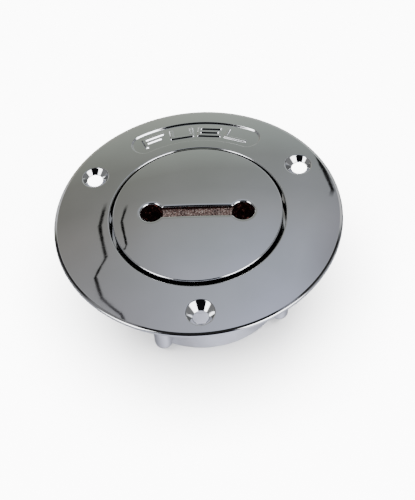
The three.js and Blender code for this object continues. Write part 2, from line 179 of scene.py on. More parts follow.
def remap(tree, value, low, high, to_low, to_high):
    settings = {"Value": value, "From Min": low, "From Max": high, "To Min": to_low, "To Max": to_high}
    return linked(tree, "ShaderNodeMapRange", settings).outputs["Result"]


def ramp(tree, value, stops):
    node = linked(tree, "ShaderNodeValToRGB", {"Fac": value})
    elements = node.color_ramp.elements
    while len(elements) < len(stops):
        elements.new(0.5)
    for element, (position, colour) in zip(elements, stops):
        element.position = position
        element.color = (*colour, 1)
    return node.outputs["Color"]


def multiplied(tree, a, b):
    """The product of two colours."""
    mix = linked(tree, "ShaderNodeMix", {"Factor": 1.0, 6: a, 7: b}, data_type="RGBA", blend_type="MULTIPLY")
    return mix.outputs[2]


class Finish:
    """A material under construction: a Principled shader whose inputs are fed by noise."""

    def __init__(self, name, metallic=0.0):
        self.material = bpy.data.materials.new(name)
        self.material.use_nodes = True
        self.tree = self.material.node_tree
        self.shader = next(node for node in self.tree.nodes if node.type == "BSDF_PRINCIPLED")
        self.shader.inputs["Metallic"].default_value = metallic

    def noise(self, scale, detail=3.0, roughness=0.5, stretch=(1, 1, 1)):
        place = linked(self.tree, "ShaderNodeTexCoord").outputs["Object"]
        scaled = linked(self.tree, "ShaderNodeMapping", {"Vector": place, "Scale": stretch}).outputs["Vector"]
        settings = {"Vector": scaled, "Scale": scale, "Detail": detail, "Roughness": roughness}
        return linked(self.tree, "ShaderNodeTexNoise", settings).outputs["Fac"]

    def feed(self, name, value):
        self.tree.links.new(value, self.shader.inputs[name])

    def colour(self, value, stops):
        self.feed("Base Color", ramp(self.tree, value, stops))

    def roughness(self, value, low, high, to_low, to_high):
        self.feed("Roughness", remap(self.tree, value, low, high, to_low, to_high))

    def bump(self, *layers):
        """Bump layers of (height, strength, distance in metres), one on top of the other."""
        settings = {}
        for height, strength, distance in layers:
            settings |= {"Height": height, "Strength": strength, "Distance": distance}
            settings["Normal"] = linked(self.tree, "ShaderNodeBump", settings).outputs["Normal"]
        self.feed("Normal", settings["Normal"])


def polished_chrome():
    """Bright nickel-chrome plate over hand-polished brass: faint waviness, hairlines and dull patches."""
    plate = Finish("polished_chrome", 1.0)
    patches = plate.noise(55, 4)
    plate.colour(patches, [(0.3, (0.55, 0.56, 0.555)), (0.7, (0.6, 0.605, 0.61))])
    smears = remap(plate.tree, patches, 0.35, 0.7, 0.012, 0.04)
    hairlines = remap(plate.tree, plate.noise(500, 2, stretch=(1, 14, 1)), 0.62, 0.75, 0.0, 0.05)
    dulled = linked(plate.tree, "ShaderNodeMath", {0: smears, 1: hairlines}, operation="ADD")
    plate.feed("Roughness", dulled.outputs[0])
    plate.bump((plate.noise(70, 1), 0.12, 0.00012), (plate.noise(420, 2), 0.12, 0.00001))
    return plate.material


def cast_chrome():
    """Thin satin plate on the as-cast faces below deck: sand texture and dull hollows."""
    plate = Finish("cast_chrome", 1.0)
    patches = plate.noise(90, 5, 0.6)
    plate.colour(patches, [(0.3, (0.47, 0.46, 0.46)), (0.55, (0.6, 0.6, 0.615)), (0.75, (0.66, 0.66, 0.68))])
    plate.roughness(patches, 0.3, 0.7, 0.42, 0.26)
    plate.bump((plate.noise(260, 2), 0.35, 0.00012), (plate.noise(1100, 3, 0.6), 0.3, 0.00004))
    return plate.material


def bare_key_seat():
    """The rough floor of the key slot, where the plate is thin and copper and tarnish show through."""
    seat = Finish("bare_key_seat")
    speckle = seat.noise(1900, 4, 0.65)
    stains = seat.noise(300, 3)
    copper = ramp(seat.tree, speckle, [(0.4, (0.012, 0.006, 0.006)), (0.52, (0.14, 0.075, 0.065)),
                                       (0.62, (0.42, 0.345, 0.325))])
    dark = ramp(seat.tree, stains, [(0.35, (0.3, 0.25, 0.25)), (0.6, (0.95, 1.0, 0.97))])
    seat.feed("Base Color", multiplied(seat.tree, copper, dark))
    seat.feed("Metallic", remap(seat.tree, speckle, 0.4, 0.7, 0.05, 0.75))
    seat.roughness(speckle, 0.35, 0.7, 0.62, 0.36)
    seat.bump((stains, 0.5, 0.0002), (speckle, 0.6, 0.00012))
    return seat.material


def dark_bore():
    """The walls of the key slot and its blind holes: near-black painted shade for their dark insides, with
    reddish speckles of real tarnish.
    """
    bore = Finish("dark_bore")
    stains = bore.noise(900, 4, 0.6)
    # The near-black stops are painted shade for the inside of the slot and holes, and the reddish stop is
    # real tarnish. The low specular level below keeps these faces from reflecting, which deepens the painted
    # shade.
    bore.colour(stains, [(0.48, (0.003, 0.001, 0.001)), (0.61, (0.012, 0.004, 0.004)),
                         (0.71, (0.14, 0.045, 0.04))])
    bore.shader.inputs["Roughness"].default_value = 0.6
    bore.shader.inputs["Specular IOR Level"].default_value = 0.02
    bore.bump((stains, 0.4, 0.0001))
    return bore.material


def nitrile():
    """Black seal rubber with a faint mould bloom."""
    rubber = Finish("nitrile")
    bloom = rubber.noise(240, 4)
    rubber.colour(bloom, [(0.35, (0.006, 0.006, 0.007)), (0.75, (0.03, 0.03, 0.032))])
    rubber.roughness(bloom, 0.3, 0.7, 0.5, 0.78)
    rubber.bump((rubber.noise(1500, 2), 0.3, 0.00002))
    return rubber.material


def stainless():
    """Tumbled stainless wire and strip with fine drawn lines."""
    steel = Finish("stainless", 1.0)
    lines = steel.noise(700, 3, stretch=(1, 1, 6))
    steel.colour(lines, [(0.3, (0.5, 0.5, 0.5)), (0.7, (0.62, 0.62, 0.61))])
    steel.roughness(lines, 0.3, 0.7, 0.2, 0.36)
    steel.bump((lines, 0.25, 0.00002))
    return steel.material


def turned_brass():
    """Bare turned brass that has dulled a little."""
    brass = Finish("turned_brass", 1.0)
    tarnish_patches = brass.noise(350, 4)
    brass.colour(tarnish_patches, [(0.3, (0.33, 0.22, 0.1)), (0.7, (0.68, 0.5, 0.24))])
    brass.roughness(tarnish_patches, 0.3, 0.7, 0.42, 0.24)
    brass.bump((brass.noise(900, 2, stretch=(1, 1, 9)), 0.3, 0.00003))
    return brass.material


# ---------------------------------------------------------------- mesh building

class Skin:
    """Points with their own normals, and the faces between them, each with a material number."""

    def __init__(self):
        self.points = []
        self.normals = []
        self.faces = []
        self.finishes = []
        self.count = 0

    def add(self, points, normals):
        normals = np.asarray(normals, float)
        lengths = np.linalg.norm(normals, axis=1, keepdims=True)
        self.points.append(np.asarray(points, float))
        self.normals.append(normals / np.maximum(lengths, 1e-12))
        self.count += len(points)
        return np.arange(self.count - len(points), self.count)

    def points_at(self, ids):
        return np.concatenate(self.points)[ids]

    def face(self, ids, finish=PLAIN):
        self.faces.append([int(i) for i in ids])
        self.finishes.append(finish)

    def band(self, a, b, finish=PLAIN):
        """Quads between two closed rows of points of the same length."""
        for i in range(len(a)):
            j = (i + 1) % len(a)
            self.face((a[i], a[j], b[j], b[i]), finish)

    def bands(self, rows, finish=PLAIN):
        for a, b in zip(rows, rows[1:]):
            self.band(a, b, finish)

    def fan(self, ring, point, normal, finish=PLAIN):
        """Closes a ring with a fan of triangles to one point."""
        tip = self.add([point], [normal])[0]
        for i in range(len(ring)):
            self.face((ring[i], ring[(i + 1) % len(ring)], tip), finish)

    def cover(self, outer, holes, surface, spacing, finish=PLAIN, skip=None):
        """Triangles on a surface between a loop and its holes, except where skip, if given, is true."""
        loops = [self.points_at(loop)[:, :2] for loop in (outer, *holes)]
        border = np.concatenate(loops)

        def between(places):
            kept = inside(places, loops[0])
            for loop in loops[1:]:
                kept &= ~inside(places, loop)
            return kept

        inner = lattice(border.min(0), border.max(0), spacing)
        keep = between(inner)
        for start in range(0, len(inner), 400):
            part = slice(start, start + 400)
            gaps = np.linalg.norm(inner[part, None] - border[None], axis=2).min(1)
            keep[part] &= gaps > 0.6 * spacing
        inner = inner[keep]
        added = self.add(*surface(inner)) if len(inner) else np.array([], int)
        ids = np.concatenate([outer, *holes, added]).astype(int)
        edges = []
        start = 0
        for loop in loops:
            edges += [(start + i, start + (i + 1) % len(loop)) for i in range(len(loop))]
            start += len(loop)
        flat = [Vector(place) for place in (*border, *inner)]
        places, _, triangles, origins, _, _ = delaunay_2d_cdt(flat, edges, [], 0, 1e-7)
        triangles = np.array([t for t in triangles if len(t) == 3])
        centres = np.array([tuple(place) for place in places])[triangles].mean(1)
        used = between(centres)
        if skip:
            used &= ~skip(centres)
        for triangle in triangles[used]:
            self.face([ids[origins[i][0]] for i in triangle], finish)

    def turn(self, angle):
        """Turns everything about +Z."""
        spin = np.eye(3)
        spin[:2, :2] = spun_by(angle)
        self.points = [p @ spin for p in self.points]
        self.normals = [n @ spin for n in self.normals]

    def tip_over(self):
        """Moves what was built in plan, as X and Y, into the YZ plane. Its heights become places along X."""
        self.points = [np.roll(p, 1, axis=1) for p in self.points]
        self.normals = [np.roll(n, 1, axis=1) for n in self.normals]

    def build(self, name, *materials):
        """The mesh object, with each face turned to the side that its points' normals are on."""
        points = np.concatenate(self.points)
        normals = np.concatenate(self.normals)
        faces = []
        for face in self.faces:
            spokes = points[face[1:]] - points[face[0]]
            across = np.cross(spokes[:-1], spokes[1:]).sum(0)
            faces.append(face[::-1] if across @ normals[face].sum(0) < 0 else face)
        mesh = bpy.data.meshes.new(name)
        mesh.from_pydata((points * MM).tolist(), [], faces)
        for material in materials:
            mesh.materials.append(material)
        mesh.polygons.foreach_set("material_index", self.finishes)
        mesh.polygons.foreach_set("use_smooth", [True] * len(faces))
        mesh.normals_split_custom_set_from_vertices(normals.tolist())
        mesh.update()
        piece = bpy.data.objects.new(name, mesh)
        bpy.context.scene.collection.objects.link(piece)
        return piece


def lattice(low, high, spacing):
    """Points of a triangular lattice over a rectangle."""
    step_y = spacing * math.sqrt(3) / 2
    rows = []
    for row in range(int((high[1] - low[1]) / step_y) + 2):
        shift = spacing / 2 if row % 2 else 0.0
        xs = np.arange(low[0] + shift, high[0], spacing)
        rows.append(np.column_stack([xs, np.full(len(xs), low[1] + row * step_y)]))
    return np.concatenate(rows)


def inside(points, loop):
    """Which points lie inside a closed loop."""
    result = np.zeros(len(points), bool)
    a = loop
    b = np.roll(loop, -1, axis=0)
    x, y = points[:, 0], points[:, 1]
    for (ax, ay), (bx, by) in zip(a, b):
        if ay == by:
            continue
        crosses = (ay > y) != (by > y)
        result ^= crosses & (x < ax + (y - ay) * (bx - ax) / (by - ay))
    return result


def corner_arc(here, into, out, fillet, steps, finer=0):
    """A rounded corner's centre, whether it bulges (1) or is hollow (-1), and the normals along its arc."""
    side = np.array([into[1], -into[0]])
    sign = 1 if into[0] * out[1] - into[1] * out[0] > 0 else -1
    angle = math.acos(float(np.clip(into @ out, -1, 1)))
    centre = here - into * fillet * math.tan(angle / 2) - sign * side * fillet
    count = max(steps, int(finer * fillet * angle))
    return centre, sign, [side @ spun_by(sign * angle * k / count) for k in range(count + 1)]


def filleted(corners, steps=5):
    """A line through (radius, height, fillet) corners, as points and normals on its right-hand side."""
    places = [np.array(corner[:2], float) for corner in corners]
    ways = [(b - a) / np.linalg.norm(b - a) for a, b in zip(places, places[1:])]
    points, normals = [places[0]], [np.array([ways[0][1], -ways[0][0]])]
    for here, corner, into, out in zip(places[1:], corners[1:], ways, ways[1:]):
        if into @ out > math.cos(STRAIGHT):
            points.append(here)
            normals.append(np.array([into[1] + out[1], -into[0] - out[0]]))
            continue
        centre, sign, sides = corner_arc(here, into, out, corner[2], steps)
        points += [centre + sign * side * corner[2] for side in sides]
        normals += sides
    points.append(places[-1])
    normals.append(np.array([ways[-1][1], -ways[-1][0]]))
    return np.array(points), np.array(normals)


def spun_by(angle):
    """The matrix that turns rows of plan places counter-clockwise."""
    return np.array([[math.cos(angle), math.sin(angle)], [-math.sin(angle), math.cos(angle)]])


def spun(outline, angle):
    """An outline turned about the origin."""
    return outline[0] @ spun_by(angle), outline[1] @ spun_by(angle)


def raised(outline, height, side):
    """An outline's points at a height, and normals whose (outward, upward) parts are side."""
    places, outward = outline
    points = np.column_stack([places, np.full(len(places), height)])
    return points, np.column_stack([outward * side[0], np.full(len(places), side[1])])


def level_surface(height, up):
    """A flat surface for Skin.cover that faces up (1) or down (-1)."""
    def surface(places):
        return raised((places, places), height, (0, up))
    return surface


def turned(skin, points, normals, finish=PLAIN, count=ROUND, start=(0, 0, 0), axis=UP):
    """Rows of a surface turned about a line, through a profile of (radius, distance) points."""
    tilt = np.array(Vector(UP).rotation_difference(Vector(axis).normalized()).to_matrix()).T
    rows = []
    for point, normal in zip(points, normals):
        around, outward = raised(circle(point[0], count), point[1], normal)
        rows.append(skin.add(around @ tilt + start, outward @ tilt))
    skin.bands(rows, finish)
    return rows


def threaded(skin, first, last, thread, finish=PLAIN):
    """A wall with one helical ridge on it, between two rows that are already there."""
    low, high = skin.points_at(first)[0, 2], skin.points_at(last)[0, 2]
    count = int(abs(high - low) / thread.step)
    angles = np.arange(ROUND) * TURN / ROUND
    _, around = circle(1.0, ROUND)
    sideways = around @ spun_by(TURN / 4)

    def radius_at(angle, height):
        """Radius of the threaded wall, with the ridge run out at its ends."""
        best = np.zeros_like(angle)
        for lap in range(int(thread.turns) + 1):
            along = angle / TURN + lap
            fade = np.clip(np.minimum(along, thread.turns - along) * 6, 0, 1)
            away = np.abs(height - (thread.start + thread.pitch * along))
            share = np.clip((thread.base / 2 - away) / ((thread.base - thread.crest) / 2), 0, 1)
            best = np.maximum(best, share * share * (3 - 2 * share) * fade)
        return thread.wall + (thread.tip - thread.wall) * best

    tiny = 1e-3
    rows = [first]
    for height in np.linspace(low, high, count + 1)[1:-1]:
        r = radius_at(angles, height)
        along_z = (radius_at(angles, height + tiny) - radius_at(angles, height - tiny)) / (2 * tiny)
        along_a = (radius_at(np.mod(angles + tiny, TURN), height) - r) / tiny
        leaning = around - sideways * np.clip(along_a / r, -2, 2)[:, None]
        normal = np.column_stack([leaning, -along_z])
        points = np.column_stack([around * r[:, None], np.full(ROUND, height)])
        rows.append(skin.add(points, normal if thread.tip > thread.wall else -normal))
    rows.append(last)
    skin.bands(rows, finish)


# ---------------------------------------------------------------- outlines in plan

def circle(radius, count, centre=(0.0, 0.0)):
    """An outline as points and outward normals. Offsetting it moves each point along its normal."""
    angles = np.arange(count) * TURN / count
    normals = np.column_stack([np.cos(angles), np.sin(angles)])
    return np.array(centre) + normals * radius, normals


def arc(centre, radius, start, end, count, hollow=False):
    """Points and normals on an arc. On a hollow arc the material is outside, so normals point inwards."""
    angles = np.linspace(start, end, count)
    around = np.column_stack([np.cos(angles), np.sin(angles)])
    return np.array(centre) + around * radius, -around if hollow else around


def joined(*parts):
    return np.concatenate([p for p, _ in parts]), np.concatenate([n for _, n in parts])


def short(part):
    """A part without its last point, for one that ends where the next begins."""
    points, normals = part
    return points[:-1], normals[:-1]


def pill(radius, half_width, half_angle, offset):
    """The arc-shaped panel's outline about +Y, grown by an offset."""
    low, high = math.pi / 2 - half_angle, math.pi / 2 + half_angle
    ends = [(radius * math.cos(a), radius * math.sin(a)) for a in (low, high)]
    half = half_width + offset
    return joined(
        short(arc((0, 0), radius + half, low, high, 90)),
        short(arc(ends[1], half, high, high + math.pi, 26)),
        short(arc((0, 0), radius - half, high, low, 74, hollow=True)),
        short(arc(ends[0], half, low + math.pi, low + TURN, 26)),
    )


def dumbbell(radius, half_width, half_spacing, offset):
    """Two circles joined by a bar, grown by an offset. The points in a row stay matched at any offset."""
    r = radius + offset
    w = half_width + offset
    reach = math.sqrt(r * r - w * w)
    mouth = math.asin(w / r)
    bar = half_spacing - reach
    xs = np.linspace(bar, -bar, BAR_POINTS + 2)[1:-1]
    top = (np.column_stack([xs, np.full(len(xs), w)]), np.tile([0.0, 1.0], (len(xs), 1)))
    bottom = (np.column_stack([-xs, np.full(len(xs), -w)]), np.tile([0.0, -1.0], (len(xs), 1)))
    right = arc((half_spacing, 0), r, -math.pi + mouth, math.pi - mouth, ARC_POINTS)
    left = arc((-half_spacing, 0), r, mouth, TURN - mouth, ARC_POINTS)
    return joined(right, top, left, bottom)


def rounded(corners, fillet, offset, steps=5):
    """A counter-clockwise outline with its corners rounded, grown by an offset.

    A corner may carry a third value, its own fillet.
    """
    places = [np.array(corner[:2], float) for corner in corners]
    points, normals = [], []
    for i, here in enumerate(places):
        own = corners[i][2] if len(corners[i]) > 2 else fillet
        into = here - places[i - 1]
        out = places[(i + 1) % len(places)] - here
        into, out = into / np.linalg.norm(into), out / np.linalg.norm(out)
        centre, sign, sides = corner_arc(here, into, out, own, steps, finer=4)
        points += [centre + side * (sign * own + offset) for side in sides]
        normals += sides
    return np.array(points), np.array(normals)


def letter_corners(character):
    """Corners of an extended block capital about its middle, counter-clockwise."""
    w, h, t = LETTER_WIDTH / 2, LETTER_HEIGHT / 2, LETTER_BAR
    if character == "F":
        low, reach = -0.42, 2.37
        return [(-w, -h), (t - w, -h), (t - w, low), (reach, low), (reach, low + t), (t - w, low + t),
                (t - w, h - t), (w, h - t), (w, h), (-w, h)]
    if character == "U":
        return [(-w, -h), (w, -h), (w, h), (w - t, h), (w - t, t - h), (t - w, t - h), (t - w, h), (-w, h)]
    if character == "E":
        reach = 2.96
        return [(-w, -h), (w, -h), (w, t - h), (t - w, t - h), (t - w, -t / 2), (reach, -t / 2),
                (reach, t / 2), (t - w, t / 2), (t - w, h - t), (w, h - t), (w, h), (-w, h)]
    return [(-w, -h), (w, -h), (w, t - h), (t - w, t - h), (t - w, h), (-w, h)]


# ---------------------------------------------------------------- the deck plate's top

def crown(points, sink=0.0):
    """Points and normals of the flange's crowned top at places in plan, at a depth under it."""
    places = np.asarray(points, float)
    radius = np.linalg.norm(places, axis=1)
    out = radius - WELL_RADIUS
    height = WELL_EDGE - CROWN_SLOPE * out - CROWN_CURVE * out * out - sink
    slope = -CROWN_SLOPE - 2 * CROWN_CURVE * out
    normals = np.column_stack([-slope[:, None] * places / radius[:, None], np.ones(len(places))])
    return np.column_stack([places, height]), normals


def crown_height(radius):
    return float(crown([[radius, 0.0]])[0][0, 2])


def soft_step(skin, outline, width, sink_out, sink_in, finish=PLAIN, rows=9):
    """Loops across a cast edge: outside the outline the surface lies at one depth, inside at another."""
    loops = []
    for k in range(rows):
        share = k / (rows - 1)
        offset = width * (0.5 - share)
        places, outward = outline(offset)
        smooth = share ** 3 * (share * (share * 6 - 15) + 10)
        steep = 30 * share ** 2 * (share - 1) ** 2 / width
        sink = sink_out + (sink_in - sink_out) * smooth
        points, normals = crown(places)
        points[:, 2] -= sink
        flat = normals / normals[:, 2:3]
        flat[:, :2] -= outward * (sink_in - sink_out) * steep
        loops.append(skin.add(points, flat))
    skin.bands(loops, finish)
    return loops[0], loops[-1]


def letter_outline(character, degrees):
    corners = letter_corners(character)

    def outline(offset):
        points, normals = rounded(corners, LETTER_FILLET, offset)
        return spun((points + [0.0, PANEL_RADIUS], normals), math.radians(degrees))

    return outline


def lettering_panel(skin):
    """The sunk panel with its raised letters. Returns the loop where it meets the flange's top."""
    def outline(offset):
        return pill(PANEL_RADIUS, PANEL_HALF_WIDTH, PANEL_HALF_ANGLE, offset)

    edge, floor_edge = soft_step(skin, outline, PANEL_WALL, 0.0, PANEL_DEPTH)
    feet = []
    for i, character in enumerate(LETTERS):
        degrees = ((len(LETTERS) - 1) / 2 - i) * LETTER_STEP
        shape = letter_outline(character, degrees)
        foot, top = soft_step(skin, shape, LETTER_WALL, PANEL_DEPTH, PANEL_DEPTH - LETTER_RISE)
        skin.cover(top, [], lambda p: crown(p, PANEL_DEPTH - LETTER_RISE), 0.5)
        feet.append(foot)
    skin.cover(floor_edge, feet, lambda p: crown(p, PANEL_DEPTH), 0.7)
    return edge


def screw_hole(skin, degrees, sink):
    """A countersunk hole. Returns its loops on the flange's top and underside."""
    count, margin, soft = 72, 0.75, 0.22
    angle = math.radians(degrees)
    centre = SCREW_CIRCLE_RADIUS * np.array([math.cos(angle), math.sin(angle)])
    middle = crown_height(SCREW_CIRCLE_RADIUS)
    _, around = circle(1.0, count)

    def on_top(radius):
        return crown(centre + around * radius[:, None])

    def cone_height(radius):
        return middle + radius - sink

    edge = np.full(count, sink)
    for _ in range(12):  # settles where the cone meets the sloping top
        edge = sink + on_top(edge)[0][:, 2] - middle
    top, top_normals = on_top(edge + soft)
    top_normals = top_normals / np.linalg.norm(top_normals, axis=1, keepdims=True)
    lip, _ = on_top(edge)
    low = edge - soft
    cone = np.column_stack([centre + around * low[:, None], cone_height(low)])
    cone_normals = np.column_stack([-around, np.ones(count)]) / math.sqrt(2)
    rows = [skin.add(*on_top(edge + margin))]
    for t in np.linspace(0, 1, 6):
        points = (1 - t) ** 2 * top + 2 * t * (1 - t) * lip + t * t * cone
        rows.append(skin.add(points, (1 - t) * top_normals + t * cone_normals))
    skin.bands(rows)
    shank = SCREW_HOLE_RADIUS
    profile = [(shank + 1, cone_height(shank + 1), 0), (shank, cone_height(shank), 0.3),
               (shank, NECK_LENGTH, 0.2), (shank + 0.8, NECK_LENGTH, 0)]
    lower = turned(skin, *filleted(profile, 4), PLAIN, count, (*centre, 0))
    skin.band(rows[-1], lower[0])
    return rows[0], lower[-1]


# ---------------------------------------------------------------- the deck plate below

def peg_outline(offset):
    """A peg on the +X side of the neck in plan, with fillets that tie it to the neck's wall."""
    fillet = PEG_FILLET - offset
    neck = NECK_RADIUS + offset
    radius = PEG_RADIUS + offset
    a, b, c = neck + fillet, radius + fillet, PEG_CIRCLE_RADIUS
    x = (a * a - b * b + c * c) / (2 * c)
    y = math.sqrt(max(a * a - x * x, 0.0))
    to_peg = math.atan2(y, x - PEG_CIRCLE_RADIUS)
    to_neck = math.atan2(y, x)
    peg = arc((PEG_CIRCLE_RADIUS, 0), radius, -to_peg, to_peg, 40)
    upper = arc((x, y), fillet, to_peg - math.pi, to_neck - math.pi, 10, hollow=True)
    lower = arc((x, -y), fillet, math.pi - to_neck, math.pi - to_peg, 10, hollow=True)
    deep = neck - 1.0
    back = arc((0, 0), deep, to_neck, -to_neck, 12, hollow=True)
    return joined(short(peg), upper, back, short(lower))


def cast_peg(skin, degrees):
    rows = []

    def row(offset, height, side):
        rows.append(skin.add(*raised(spun(peg_outline(offset), math.radians(degrees)), height, side)))

    for k in range(11):
        tilt = math.pi / 2 * k / 10
        inset = (PEG_RADIUS - 0.05) * (1 - math.sin(tilt))
        row(-inset, PEG_FOOT + PEG_RADIUS * (1 - math.cos(tilt)), (math.sin(tilt), -math.cos(tilt)))
    row(0.0, HUB_UNDERSIDE + 0.5, (1, 0))
    skin.bands(rows, ROUGH)
    skin.face(rows[0], ROUGH)
    skin.face(rows[-1], ROUGH)


def deck_plate():
    skin = Skin()
    holes = [screw_hole(skin, degrees, sink) for degrees, sink in SCREW_HOLES]
    rim_crown = crown_height(TOP_EDGE)
    rim = [(FLANGE_RADIUS - 1.5, NECK_LENGTH, 0), (FLANGE_RADIUS, NECK_LENGTH, 0.5),
           (FLANGE_RADIUS, rim_crown - RIM_WIDTH * RIM_SLOPE, 0.55), (TOP_EDGE, rim_crown, 0.6),
           (TOP_EDGE - 0.4, crown_height(TOP_EDGE - 0.4), 0)]
    outside = turned(skin, *filleted(rim, 6))
    lip = [(WELL_RADIUS + 0.8, crown_height(WELL_RADIUS + 0.8), 0), (WELL_RADIUS, WELL_EDGE, WELL_LIP_ROUND),
           (WELL_RADIUS, SEAT, 0.4), (BORE_RADIUS, SEAT, 0.5), (BORE_RADIUS, SEAT - 0.75, 0)]
    well = turned(skin, *filleted(lip, 6))
    panel = lettering_panel(skin)
    skin.cover(outside[-1], [well[0], panel, *(hole[0] for hole in holes)], crown, 1.5)

    relief = PIPE_MAJOR_RADIUS + 0.3
    below = [(BORE_RADIUS, 18.75, 0), (BORE_RADIUS, 18.4, 0.3), (PASSAGE_RADIUS, 17.0, 0.6),
             (PASSAGE_RADIUS, PIPE_DEPTH + 1.3, 0.3), (relief, PIPE_DEPTH + 0.9, 0.2),
             (relief, PIPE_DEPTH, 0.15), (PIPE_MAJOR_RADIUS, PIPE_DEPTH - 0.3, 0.15),
             (PIPE_MAJOR_RADIUS, PIPE_DEPTH - 0.7, 0)]
    passage = turned(skin, *filleted(below, 4), ROUGH)
    threaded(skin, well[-1], passage[0], BORE_THREAD, ROUGH)
    casting = [(PIPE_MAJOR_RADIUS, 1.4, 0), (PIPE_MAJOR_RADIUS, 1.0, 0.2), (PIPE_MAJOR_RADIUS + 0.9, 0, 0.25),
               (NECK_RADIUS, 0, 0.5), (NECK_RADIUS, 24.0, 2.2), (HUB_RADIUS, 26.0, 1.6),
               (HUB_RADIUS, NECK_LENGTH, 0.6), (HUB_RADIUS + 1.2, NECK_LENGTH, 0)]
    neck = turned(skin, *filleted(casting, 7), ROUGH)
    threaded(skin, passage[-1], neck[0], PIPE_THREAD, ROUGH)
    underside = level_surface(NECK_LENGTH, -1)
    skin.cover(outside[0], [neck[-1], *(hole[1] for hole in holes)], underside, 2.2, ROUGH)
    for degrees in PEG_ANGLES:
        cast_peg(skin, degrees)
    chain_lug(skin)
    return skin.build("plate_casting", chrome, rough_chrome)


def bored_slab(skin, corners, fillet, steps, levels, hole, count, start, spacing, finish=PLAIN):
    """A slab with a hole. Its levels are (offset, height, side). The hole's profile runs down."""
    rows = [skin.add(*raised(rounded(corners, fillet, offset, steps), height, side))
            for offset, height, side in levels]
    skin.bands(rows, finish)
    bore = turned(skin, *hole, finish, count, start)
    skin.cover(rows[-1], [bore[0]], level_surface(levels[-1][1], 1), spacing, finish)
    skin.cover(rows[0], [bore[-1]], level_surface(levels[0][1], -1), spacing, finish)


def chain_lug(skin):
    """The lug in the neck with an upright hole for the chain's ring."""
    root, nose, half_width = -19.6, -14.2, 2.4
    low, high, bore = PIPE_DEPTH + 1.8, 17.2, 1.4
    corners = [(root, -half_width), (nose, -half_width), (nose, half_width), (root, half_width)]
    levels = [(-0.3, low, (0, -1)), (-0.09, low + 0.09, (1, -1)), (0, low + 0.3, (1, 0)),
              (0, high - 0.3, (1, 0)), (-0.09, high - 0.09, (1, 1)), (-0.3, high, (0, 1))]
    hole = filleted([(bore + 0.5, high, 0), (bore, high, 0.2), (bore, low, 0.2), (bore + 0.5, low, 0)], 3)
    bored_slab(skin, corners, 0.5, 4, levels, hole, 28, (-17.1, 0, 0), 0.8, ROUGH)


# ---------------------------------------------------------------- the cap

def dome(places):
    """Points and normals of the cap's slightly domed top at places in plan."""
    places = np.asarray(places, float)
    squared = (places ** 2).sum(1)
    height = CAP_CROWN - CAP_DOME * squared / CAP_EDGE ** 2
    normals = np.column_stack([places * (2 * CAP_DOME / CAP_EDGE ** 2), np.ones(len(places))])
    return np.column_stack([places, height]), normals


def dome_height(radius):
    return float(dome([[radius, 0.0]])[0][0, 2])


def key_slot(skin):
    """The keyhole slot's walls, rough floor and blind holes. Returns its loop on the cap's top."""
    def outline(offset):
        return dumbbell(KEY_HOLE_RADIUS, KEY_SLOT_HALF_WIDTH, KEY_HALF_SPACING, offset)

    soft = KEY_LIP_ROUND
    slot_floor = CAP_CROWN - KEY_SLOT_DEPTH
    rows = [skin.add(*dome(outline(soft + 0.6)[0]))]
    for k in range(7):
        tilt = KEY_LIP_ROLL + (math.pi / 2 - KEY_LIP_ROLL) * k / 6
        places, outward = outline(soft * (1 - math.sin(tilt)))
        points, _ = dome(places)
        points[:, 2] -= soft * (1 - math.cos(tilt))
        normals = np.column_stack([-outward * math.sin(tilt), np.full(len(places), math.cos(tilt))])
        rows.append(skin.add(points, normals))
    skin.bands(rows[:-1])
    for height in (CAP_CROWN - 1.0, slot_floor):
        rows.append(skin.add(*raised(outline(0.0), height, (-1, 0))))
    # The slot's lower walls get near-black painted shade, with reddish tarnish specks.
    skin.bands(rows[-4:], TARNISH_AND_PAINTED_SHADE)
    places, _ = outline(0.0)
    floor_edge = skin.add(*raised((places, places), slot_floor, (0, 1)))
    right_arc, back, left_arc, front = np.split(floor_edge, np.cumsum([ARC_POINTS, BAR_POINTS, ARC_POINTS]))
    mouth = math.asin(KEY_SLOT_HALF_WIDTH / KEY_HOLE_RADIUS)
    mouths = []
    for centre, middle in ((KEY_HALF_SPACING, math.pi), (-KEY_HALF_SPACING, 0.0)):
        places, _ = arc((centre, 0), KEY_HOLE_RADIUS, middle - mouth, middle + mouth, 12)
        mouths.append(skin.add(*raised((places[1:-1], places[1:-1]), slot_floor, (0, 1))))
    seat = np.concatenate([right_arc[-1:], back, left_arc[:1], mouths[1][::-1],
                           left_arc[-1:], front, right_arc[:1], mouths[0][::-1]])
    skin.cover(seat, [], rough_floor(slot_floor), 0.22, KEY_SEAT)
    blind_hole(skin, np.concatenate([right_arc, mouths[0]]), KEY_HALF_SPACING)
    blind_hole(skin, np.concatenate([left_arc, mouths[1]]), -KEY_HALF_SPACING)
    return rows[0]


def blind_hole(skin, edge, centre):
    """A key hole below the slot's floor, down from the edge that is already there."""
    rim = skin.points_at(edge)
    bottom = CAP_CROWN - KEY_HOLE_DEPTH
    outward = rim[:, :2] - [centre, 0]
    levels = []
    for height, share in ((rim[0, 2], 1.0), (bottom + 1.2, 1.0), (bottom, 0.9)):
        levels.append(skin.add(*raised((outward * share + [centre, 0], -outward), height, (1, 0))))
    # The hole's wall and floor get near-black painted shade, with reddish tarnish specks.
    skin.bands(levels, TARNISH_AND_PAINTED_SHADE)
    end = skin.add(skin.points_at(levels[-1]), np.tile(UP, (len(rim), 1)))
    skin.fan(end, [centre, 0, bottom - 0.4], UP, TARNISH_AND_PAINTED_SHADE)


def rough_floor(height):
    """A pitted cast floor at a height."""
    def surface(places):
        lift = [0.09 * noise.noise(Vector((x * 2.1, y * 2.1, 4.0))) for x, y in places]
        points = np.column_stack([places, height + np.array(lift)])
        return points, np.tile(UP, (len(places), 1))
    return surface


